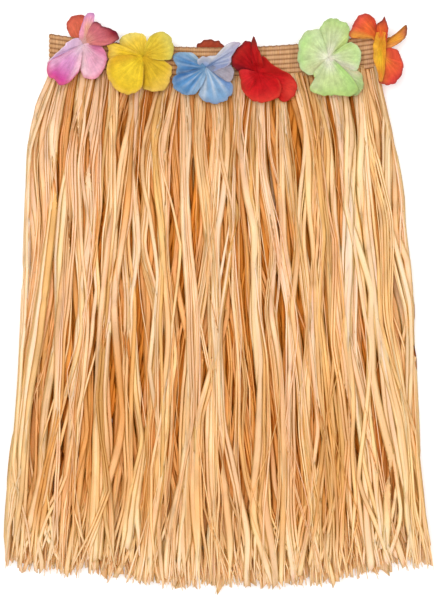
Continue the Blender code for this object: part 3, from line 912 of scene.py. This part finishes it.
YELLOW = (
    Petal(1, ((6, -2), (19, -5), (31, -4), (34, 6), (33, 14), (28, 22), (19, 26), (9, 22), (4, 14), (1, 4)),
        0xE0B42C, 0xE2BE36, 0xDECC5C, None, 0xE2C43C, 0xCEBE60, 0.0010),
    Petal(0, ((4, 4), (5, 16), (1, 23), (-6, 25), (-16, 24), (-24, 18), (-24, 10), (-16, 4), (-4, 1)),
        0xD4B024, 0xF4CC42, 0xF2D870, None, 0xECBE2E, 0xE8D26E, 0.0012),
    Petal(1, ((-4, 2), (-19, 10), (-30, 13), (-39, 13), (-37, 6), (-38, -1), (-33, -6), (-19, -7),
        (-5, -2)),
        0xF0C62A, 0xF2C42C, 0xF6CC5C, 0xF8CE46, 0xE4B026, 0xE0A632, 0.0006, 0.0014),
    Petal(2, ((-4, -1), (-20, 0), (-33, -2), (-38, -12), (-38, -23), (-32, -33), (-25, -40), (-14, -43),
        (-5, -39), (0, -33), (1, -20), (1, -6)),
        0xECC428, 0xF7D034, 0xE8BE2C, 0xECB42A, 0xF0C830, 0xF0BE50, 0.0014),
    Petal(0, ((0, -4), (0, -21), (0, -35), (8, -39), (18, -39), (26, -35), (30, -24), (32, -13), (25, -6),
        (14, -2), (5, -1)),
        0xDEAE24, 0xE2B82C, 0xEABE4C, 0xD6AA22, None, 0xE2B85A, 0.0016, 0.0008),
)
BLUE = (
    Petal(2, ((8, -6), (15, -3), (25, 1), (28, 10), (33, 18), (37, 24), (31, 26), (23, 24), (17, 18),
        (12, 12), (2, 11), (-8, 9), (-9, 3)),
        0x5680B8, 0xA0A8C6, 0xB2AAC4, 0x8C96BA, 0xD6D2D6, 0xB8ACC0, 0.0008, -0.0014, (-1, -1), 0.35),
    # The upper-left petal's dark left side, along its lower edge, is painted shade.
    Petal(0, ((-3, 2), (-9, 10), (-15, 15), (-25, 16), (-34, 14), (-35, 8), (-32, 0), (-32, -8), (-24, -9),
        (-14, -6), (-4, -3)),
        0x6C98C0, 0x5084B8, 0x749CC2, 0x92B0C6, 0x3A6AA0, 0x88A4BC, 0.0012, 0.0, (0, 0), 0.25),
    Petal(1, ((-3, -3), (-15, -6), (-27, -8), (-35, -11), (-37, -17), (-35, -23), (-29, -28), (-20, -31),
        (-12, -30), (-8, -26), (-3, -18), (0, -9)),
        0x749EC2, 0x588EC2, 0x5C90C0, 0x4070A8, 0x96B6D4, 0x7E9AB8, 0.0012, 0.0014, (0, 0), 0.35),
    Petal(0, ((-1, -5), (0, -14), (-3, -21), (-8, -29), (-5, -35), (2, -39), (11, -41), (20, -38),
        (27, -31), (30, -23), (25, -15), (17, -10), (8, -4)),
        0xA0BAD4, 0x84AAD0, 0x7AA2C8, 0xACC2DA, 0x7090C4, 0x90A0BC, 0.0016, 0.0008, (0, 0), 0.6),
    Petal(1, ((8, -6), (17, -13), (25, -17), (29, -11), (30, -3), (25, 2), (15, 3), (5, 0)),
        0x7E92B4, 0xA6A0AC, 0xACA2AC, None, 0x8488A2, None, 0.0008),
)
RED = (
    Petal(0, ((4, -4), (13, -17), (22, -28), (26, -33), (32, -32), (38, -27), (42, -19), (41, -11),
        (37, -4), (28, 1), (18, 7), (11, 13), (4, 17), (1, 4)),
        0xC80E14, 0xCC141A, 0xE44234, 0xC81816, 0xB21410, 0xCA3228, 0.0014, 0.0008),
    Petal(2, ((6, 6), (4, 16), (0, 24), (-2, 31), (-5, 38), (-8, 30), (-8, 18), (-5, 5)),
        0xC41018, 0xCC1C1E, 0x7C2820, 0xBA1E18, 0xAA0A10, 0x782424, 0.0005, 0.0012),
    Petal(1, ((-3, 5), (-4, 18), (-6, 31), (-13, 33), (-21, 27), (-27, 19), (-29, 12), (-26, 4), (-20, -1),
        (-10, -1)),
        0xB40A10, 0xAA0C12, 0xB0221C, 0xB80E12, 0x78101E, 0x741E24, 0.0012),
    Petal(2, ((-4, -1), (-13, 2), (-21, 1), (-20, -7), (-18, -15), (-13, -22), (-6, -17), (-1, -5)),
        0xBE0C14, 0xD82428, 0xC42822, 0xE22C30, 0xC8141A, 0xB43222, 0.0010),
    Petal(1, ((-3, -3), (-11, -4), (-18, -9), (-18, -20), (-13, -27), (-6, -32), (4, -34), (14, -32),
        (22, -28), (25, -19), (22, -9), (11, -4), (3, -2)),
        0xC00E16, 0xCE161C, 0xDA322C, 0xCE2224, 0xC41014, 0xD03C2C, 0.0018, 0.0010),
)
GREEN = (
    Petal(1, ((5, -3), (15, -9), (24, -14), (31, -15), (34, -9), (36, -1), (35, 7), (31, 13), (24, 16),
        (16, 12), (5, 3)),
        0xFAF6DE, 0xCEDEA0, 0xC6E496, 0xDEDABE, 0xC4DE88, 0xCEE6A8, 0.0012),
    Petal(0, ((6, 2), (17, 11), (22, 19), (24, 29), (20, 36), (14, 40), (7, 42), (1, 43), (-5, 37),
        (-10, 29), (-7, 17), (-2, 4)),
        0xF6EED8, 0xCEDAA6, 0xBCD688, 0xC4D87E, 0xCADEA0, 0xB0CC88, 0.0018, 0.0010),
    Petal(1, ((0, 3), (-5, 17), (-9, 28), (-13, 30), (-20, 29), (-27, 25), (-31, 17), (-33, 6), (-33, -4),
        (-30, -13), (-24, -18), (-16, -20), (-8, -12), (-3, -2)),
        0xF8F6D8, 0xCEE0A0, 0xB0D884, 0xCEE2A8, 0xD6D8A2, 0xC4D6A0, 0.0014),
    Petal(2, ((-2, -2), (-10, -11), (-17, -19), (-14, -26), (-20, -32), (-18, -38), (-9, -42), (2, -42),
        (15, -43), (26, -42), (32, -37), (27, -25), (15, -12), (5, -2)),
        0xFAF6E0, 0xCEE09A, 0xB4D67C, 0xCEDCA0, 0xB4D882, 0xBCD47E, 0.0018),
    Petal(0, ((5, -9), (15, -24), (23, -37), (30, -42), (36, -37), (38, -28), (37, -19), (32, -15),
        (26, -11), (15, -5), (5, -1)),
        0xF6EED8, 0xD0D2A8, 0xB0CE82, 0xBED48C, 0xDCCEA6, 0xBECE8C, 0.0012, 0.0008),
)
ORANGE = (
    Petal(0, ((13, -7), (17, -2), (20, 1), (28, 5), (33, 10), (36, 17), (35, 25), (29, 19), (23, 15),
        (16, 11), (12, 10)),
        0xEC7A28, 0xF6A63A, 0xC4644E, 0xE8964A, 0xBE742C, 0x703828, 0.0004, 0.0, (8, 1)),
    Petal(2, ((13, 0), (15, 16), (15, 22), (13, 28), (11, 33), (8, 28), (3, 26), (2, 19), (2, 2)),
        0xF4A42E, 0xF06E2E, 0xB04236, 0xCE4A30, 0xD64C24, 0x78322C, 0.0004, 0.0008, (8, 0)),
    Petal(1, ((7, 14), (3, 23), (1, 30), (-4, 35), (-11, 36), (-18, 33), (-22, 28), (-24, 20), (-27, 15),
        (-24, 10), (-13, 11), (-3, 10), (5, 6)),
        0xCE601E, 0xEE6832, 0xE25442, 0xCE422C, 0xF0A040, 0xAC3E3A, 0.0012, 0.0, (6, 10)),
    Petal(1, ((8, -12), (7, -20), (5, -31), (5, -39), (10, -41), (17, -41), (24, -38), (29, -31), (31, -24),
        (31, -17), (28, -9), (24, -2), (18, 0), (13, -2), (10, -7)),
        0xF4A032, 0xEA6036, 0xE0403A, 0xE07032, 0xE65438, 0xAA3638, 0.0010, 0.0010, (9, -9)),
    Petal(2, ((3, 16), (0, 5), (0, -4), (-1, -11), (1, -20), (4, -29), (5, -37), (8, -38), (11, -29),
        (12, -13), (13, 0), (12, 16)),
        0xF28C2E, 0xF6BE30, 0xE2822C, 0xF6B83C, 0xEE9C2A, 0xECA03C, 0.0004, 0.0012, (8, 17)),
)
FRONT_FLOWERS = (
    Flower("flower_lilac", "silk_lilac", -0.1488, 0.2812, LILAC),
    Flower("flower_yellow", "silk_yellow", -0.0837, 0.2681, YELLOW),
    Flower("flower_blue", "silk_blue", -0.0147, 0.2562, BLUE),
    Flower("flower_red", "silk_red", 0.0420, 0.2507, RED),
    Flower("flower_green", "silk_green", 0.1183, 0.2665, GREEN),
    Flower("flower_orange", "silk_orange", 0.1680, 0.2769, ORANGE),
)


def round_petal(angle, length, width):
    """The outline of a plain rounded petal that points at this angle, in degrees."""
    turn = math.radians(angle)
    side = ((0.10, 0.30), (0.40, 0.75), (0.70, 1.00), (0.93, 0.65))
    both = [(along, -across) for along, across in side] + [(1.0, 0.0)]
    both += [(along, across) for along, across in reversed(side)]
    outline = []
    for along, across in both:
        x, y = along * length, across * width / 2
        outline.append((x * math.cos(turn) - y * math.sin(turn), x * math.sin(turn) + y * math.cos(turn)))
    return tuple(outline)


# One lobe of each shows over the band, and the other four lie under it
BACK_ORANGE = (0xE27054, 0xEC7658, 0xE66C54, None, None, 0xAA463C)
BACK_CRIMSON = (0xA0321A, 0xB03E20, 0xB44C32, None, None, 0x783228)
BACK_FLOWERS = (
    Flower("flower_back_orange", "silk_orange", -0.1499, 0.2769, (
        Petal(0, round_petal(101, 38, 26), *BACK_ORANGE),
        *(Petal(0, round_petal(angle, 24, 22), *BACK_ORANGE) for angle in (29, 173, 245, 317)),
    )),
    Flower("flower_back_crimson", "silk_red", -0.0104, 0.2594, (
        Petal(0, round_petal(87, 28, 31), *BACK_CRIMSON),
        *(Petal(0, round_petal(angle, 24, 22), *BACK_CRIMSON) for angle in (15, 159, 231, 303)),
    )),
)


def smooth_line(corners, count):
    """An open curve through the corners, as this many points evenly spaced along it, with their places."""
    corners = np.array(corners, float)
    padded = np.concatenate([[2 * corners[0] - corners[1]], corners, [2 * corners[-1] - corners[-2]]])
    t = np.linspace(0, 1, CURVE_STEPS, endpoint=False)[:, None]
    curve = []
    for a, b, c, d in zip(padded, padded[1:], padded[2:], padded[3:]):
        bend = (2 * a - 5 * b + 4 * c - d) * t**2 / 2
        curve.append(b + (c - a) * t / 2 + bend + (3 * b - a - 3 * c + d) * t**3 / 2)
    curve = np.concatenate([*curve, corners[-1:]])
    steps = np.linalg.norm(np.diff(curve, axis=0), axis=1)
    place = np.concatenate([[0.0], np.cumsum(steps)])
    even = np.linspace(0, place[-1], count)
    return np.stack([np.interp(even, place, curve[:, axis]) for axis in (0, 1)], axis=1), even


def petal_tint(petal, share, reach, across, middle_rise, phase):
    """The colour at each point of a petal: its length, its two sides, its rim, veins and pale streaks of
    painted highlight.
    """
    root, middle, end = (linear(colour) for colour in (petal.root, petal.middle, petal.end))
    s = reach[..., None]
    tint = mix(root, middle, smooth(s / 0.5))
    tint = mix(tint, end, smooth((s - 0.5) / 0.45))
    for side, colour in ((-1, petal.right), (1, petal.left)):
        if colour:
            part = smooth((side * across - 0.25) / 0.7) * smooth(reach / 0.35)
            tint = mix(tint, linear(colour), part[..., None])
    if petal.rim:
        part = 0.8 * smooth((share - 0.86) / 0.14) * smooth(reach / 0.5)
        tint = mix(tint, linear(petal.rim), part[..., None])
    veins = 1 + 0.05 * np.sin(across * 19 + phase) * middle_rise + 0.04 * np.sin(across * 43) * middle_rise
    # Pale streaks: painted highlights in streaks from the middle out.
    pale = 0.5 + 0.5 * np.sin(across * 11 + 2.5 * reach + phase)
    tint = mix(tint, PAINTED_HIGHLIGHT_STREAK, (petal.streaks * pale**3 * middle_rise)[..., None])
    return tint * veins[..., None] * SILK_TONE


def petal_sheet(petal, index, pressed, draw):
    """One petal as a grid of points about the flower's middle, rows outwards, with its tint and grain."""
    rim, rim_place = smooth_line(petal.outline, PETAL_COLUMNS)
    rim, rim_place = rim * OUTLINE_UNIT, rim_place * OUTLINE_UNIT
    root = np.array(petal.at) * OUTLINE_UNIT
    spoke = rim - root
    fray = drift(draw, rim_place, FRAY_LENGTH, FRAY_DEPTH)
    fray += np.array([draw.uniform(*THREAD_ENDS) for _ in rim_place])
    spoke *= 1 + (fray / np.linalg.norm(spoke, axis=1))[:, None]
    share = np.linspace(PETAL_START, 1, PETAL_ROWS)[:, None]
    flat = root + spoke * share[..., None]
    r = np.linalg.norm(flat, axis=-1)
    lengths = np.linalg.norm(spoke, axis=-1)
    reach = share * lengths / lengths.max()
    angle = np.unwrap(np.arctan2(spoke[:, 1], spoke[:, 0]))
    broad = angle[lengths > BROAD * lengths.max()]
    across = np.clip(2 * (angle - broad.min()) / np.ptp(broad) - 1, -1, 1)[None, :]

    ruffle = drift(draw, rim_place, RUFFLE_LENGTH, petal.wave)[None, :]
    phase = draw.uniform(0, math.tau)
    middle_rise = np.sin(math.pi * np.clip(reach * DOME_END, 0, 1))
    z = PLEAT_DEPTH * np.sin(math.pi * draw.choice((4, 5, 6)) * across + phase) * middle_rise
    dome = (1 - across**2) * middle_rise
    for turn, pitch in CRUMPLES:
        place = flat[..., 0] * math.cos(turn) + flat[..., 1] * math.sin(turn)
        crumple = np.sin(math.tau * place / pitch + draw.uniform(0, math.tau))
        z = z + CRUMPLE_DEPTH * crumple * smooth(reach / CRUMPLE_FROM)
    if pressed:
        z = z * PRESSED_WAVE + dome * PRESSED_DOME + PRESSED_TIERS[index] * SILK
    else:
        out = np.maximum(r - CORE_RADIUS, 0)
        z = z + ruffle * share**3 * smooth(r / RUFFLE_FROM) + dome * DOME
        z = z + petal.tier * TIER_RISE * smooth(out / (OVERLAP_RADIUS - CORE_RADIUS)) + CONE * out
        crease = np.exp(-(((across - draw.uniform(*CREASE_PLACES)) / CREASE_WIDTH) ** 2))
        z = z + petal.crease * crease * middle_rise + index * SILK

    points = np.concatenate([flat, z[..., None]], axis=-1)
    grain = np.empty_like(points)
    grain[..., 0] = across * 0.012 + index
    grain[..., 1] = share * lengths
    grain[..., 2] = index * 3.1
    return points, petal_tint(petal, share, reach, across, middle_rise, phase), grain


def make_flower(flower, low, pressed, material):
    """Five petals cut from one sheet of silk."""
    draw = random.Random(flower.name)
    parts = []
    for index, petal in enumerate(flower.petals):
        points, tint, grain = petal_sheet(petal, index, pressed, draw)
        points = points + np.array((flower.x, flower.y, low))
        part = [values.reshape(-1, 3) for values in (points, tint, grain)]
        parts.append((*part, grid_faces(PETAL_ROWS, PETAL_COLUMNS)))
    name = flower.name.replace("flower_", "silk_flower_")
    piece = new_piece(name, parts, material, flower.name)
    wall = piece.modifiers.new("wall", "SOLIDIFY")
    wall.thickness = SILK
    wall.offset = 0.0


# ---------------------------------------------------------------- stage

VIEW_MIDDLE = (0.0005, 0.0033)
VIEW_HEIGHT = 0.6518
LENS, SENSOR = 100.0, 36.0
OBJECT_Z = 0.010
FLOOR_SIZE, FLOOR_Z = 60, -0.0004
FLOOR_GLOW = 0.15
SKY = 0.74
LIGHT_SIZE = 2.0
KEY_PLACE, KEY_POWER = (-0.7, 0.7, 2.0), 26.0
FILL_PLACE, FILL_POWER = (1.0, -0.5, 1.9), 12.0


def make_stage():
    """A white floor, a camera straight above, and soft light from the upper left."""
    scene = bpy.context.scene
    bpy.ops.mesh.primitive_plane_add(size=FLOOR_SIZE, location=(0, 0, FLOOR_Z))
    floor = bpy.context.object
    floor.name = "floor"
    shader = Shader(
        "floor",
        Roughness=0.9,
        Base_Color=(0.93, 0.93, 0.93, 1),
        Specular_IOR_Level=0.1,
        Emission_Color=(1, 1, 1, 1),
        Emission_Strength=FLOOR_GLOW,
    )
    floor.data.materials.append(shader.material)

    camera = bpy.data.objects.new("camera", bpy.data.cameras.new("camera"))
    camera.data.lens = LENS
    camera.data.sensor_width = SENSOR
    camera.location = (*VIEW_MIDDLE, OBJECT_Z + VIEW_HEIGHT * LENS / SENSOR)
    scene.collection.objects.link(camera)
    scene.camera = camera

    for name, place, power in (("key", KEY_PLACE, KEY_POWER), ("fill", FILL_PLACE, FILL_POWER)):
        light = bpy.data.objects.new(name, bpy.data.lights.new(name, "AREA"))
        light.data.size = LIGHT_SIZE
        light.data.energy = power
        light.location = place
        light.rotation_euler = (-Vector(place)).to_track_quat("-Z", "Y").to_euler()
        scene.collection.objects.link(light)
    world = bpy.data.worlds.new("world")
    world.use_nodes = True
    sky = world.node_tree.nodes["Background"].inputs
    sky["Color"].default_value = (1, 1, 1, 1)
    sky["Strength"].default_value = SKY
    scene.world = world
    scene.view_settings.view_transform = "Standard"


def main():
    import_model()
    make_stage()
    raffia = raffia_material("raffia")
    grass = [make_grass(layer, raffia) for layer in LAYERS]
    band = make_band(raffia_material("raffia_band"))
    silks = {}
    on_band = panel_floor(1) + BAND_WALL + GAP
    for flower in (*FRONT_FLOWERS, *BACK_FLOWERS):
        pressed = flower in BACK_FLOWERS
        if flower.slot not in silks:
            silks[flower.slot] = silk_material(flower.slot)
        low = PRESSED_LOW if pressed else on_band + PETAL_WALL / 2
        make_flower(flower, low, pressed, silks[flower.slot])


main()
